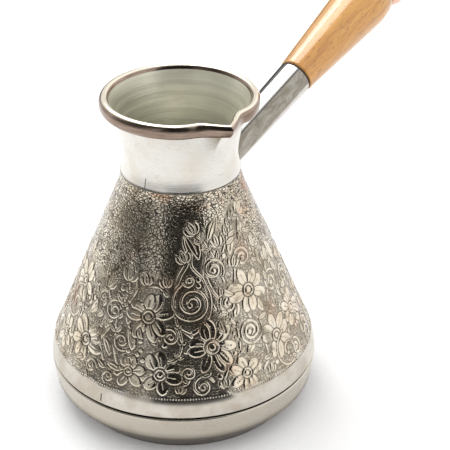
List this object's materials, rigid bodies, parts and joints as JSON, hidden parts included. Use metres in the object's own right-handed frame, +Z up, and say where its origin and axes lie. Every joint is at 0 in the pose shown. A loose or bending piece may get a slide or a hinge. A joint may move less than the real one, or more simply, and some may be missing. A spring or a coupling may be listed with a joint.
{
  "type": "long-handled coffee pot",
  "caption": "Conical coffee pot with a flared rim, pinched pouring lip, lapped base pan and a long straight handle that ends in a hanging ring.",
  "frame": {"origin": "centre of the flat base, on the surface that the pot stands on", "axes": "+Z up along the pot's axis, +X toward the handle; the pouring lip is 105.5 degrees clockwise from the handle seen from above"},
  "size_m": [0.1918, 0.0994, 0.1395],
  "materials": {
    "plated_body": "silver-plated copper, stamped relief with dark recesses, smooth neck and band",
    "plated_base": "silver-plated copper, satin",
    "copper": "bright copper",
    "steel": "polished, faint lengthwise brushing",
    "fibre": "dark pressed fibre",
    "lacquered_wood": "clear gloss lacquer over honey-coloured beech"
  },
  "bodies": {
    "pot": {"body_shell": "plated_body", "rim_wire": "copper", "base_pan": "plated_base", "handle_socket": "steel", "socket_nut": "steel"},
    "washer": {"joint_washer": "fibre"},
    "grip": {"wood_grip": "lacquered_wood", "handle_rod": "steel", "end_cap": "copper", "hanger_eye": "copper"},
    "ring": {"hang_ring": "copper"}
  },
  "joints": [
    {"name": "washer_travel", "type": "slide", "parent": "pot", "child": "washer", "axis": [0.9239, 0, 0.3827], "range_m": [0, 0.012]},
    {"name": "grip_unscrew", "type": "hinge", "parent": "washer", "child": "grip", "pos_m": [0.0657, 0, 0.10491], "axis": [0.9239, 0, 0.3827], "range_deg": [0, 4320]},
    {"name": "ring_swing", "type": "hinge", "parent": "grip", "child": "ring", "pos_m": [0.13729, 0, 0.13357], "axis": [0, 1, 0], "range_deg": [-240, 25]}
  ],
  "couplings": [
    {"joint": "grip_unscrew", "follows": "washer_travel", "rad_per_m": 6283.2}
  ]
}
